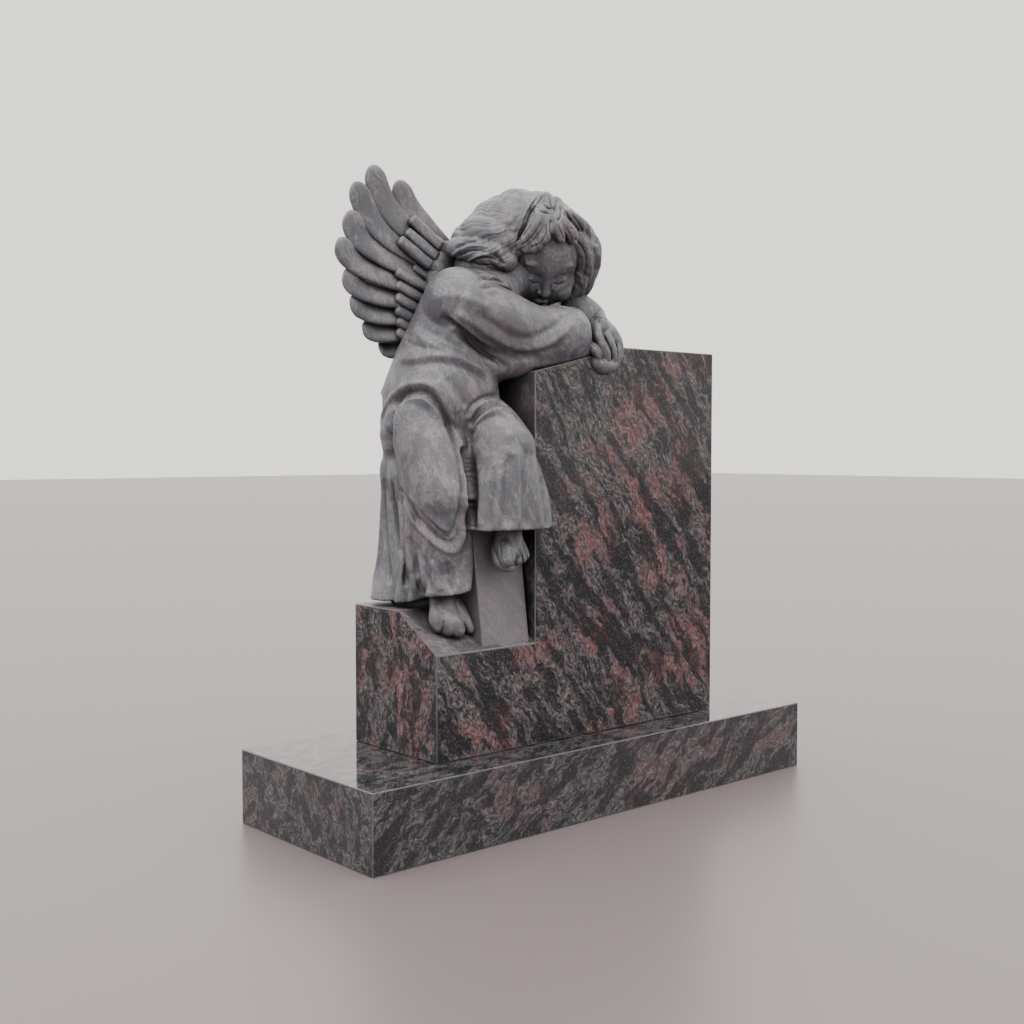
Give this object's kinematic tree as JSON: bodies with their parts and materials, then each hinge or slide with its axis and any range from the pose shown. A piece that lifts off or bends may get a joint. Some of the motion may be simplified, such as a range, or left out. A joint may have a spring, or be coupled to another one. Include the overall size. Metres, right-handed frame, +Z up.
{
  "type": "angel headstone",
  "caption": "Upright granite headstone on a base slab, with a seated child angel carved at its left end that rests its head on folded arms on top of the stone.",
  "frame": {"origin": "centre of the base slab's underside", "axes": "+X to the right of the polished front face as a viewer sees it, -Y out of the front face, +Z up"},
  "size_m": [0.82, 0.3, 0.876],
  "materials": {
    "polished_granite": "polished granite, dark grey with pink and pale streaks",
    "granite": "granite, faces polished and carving honed"
  },
  "bodies": {
    "root": {"base_slab": "polished_granite", "headstone_with_angel": "granite"}
  },
  "joints": []
}
